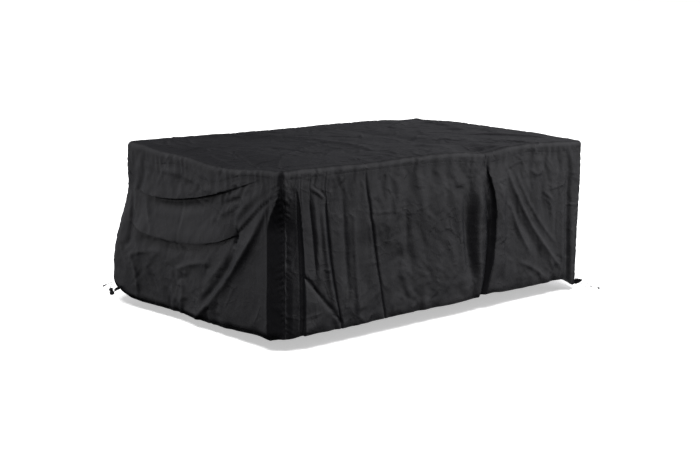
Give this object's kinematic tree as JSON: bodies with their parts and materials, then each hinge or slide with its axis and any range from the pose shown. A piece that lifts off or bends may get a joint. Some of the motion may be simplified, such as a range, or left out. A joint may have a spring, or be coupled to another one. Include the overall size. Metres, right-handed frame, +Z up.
{
  "type": "patio furniture cover",
  "caption": "Fitted rectangular cloth cover draped over a patio dining set, with cowl folds, deep pleats and draw cord ends at two hem corners.",
  "frame": {"origin": "under the middle of the cover's top, where the furniture that it hides carries it", "axes": "+Z up; +X along the long side; -Y faces the long front side"},
  "size_m": [2.6679, 1.7034, 0.9769],
  "materials": {
    "cover_cloth": "coated polyester, satin black",
    "cord_braid": "braided cord, dull dark grey",
    "lock_plastic": "moulded, satin black",
    "cord_end_plastic": "moulded, satin black"
  },
  "bodies": {
    "root": {"top_panel": "cover_cloth", "front_panel": "cover_cloth", "left_panel": "cover_cloth", "back_panel": "cover_cloth", "right_panel": "cover_cloth", "left_hem_tab": "cover_cloth", "right_hem_tab": "cover_cloth", "lock_barrel": "lock_plastic", "lock_button": "lock_plastic", "left_cord": "cord_braid", "left_cord_end": "cord_end_plastic", "right_cord_in": "cord_braid", "right_cord_out": "cord_braid", "right_cord_tail": "cord_braid", "right_knot": "cord_braid", "right_cord_end": "cord_end_plastic"}
  },
  "joints": []
}
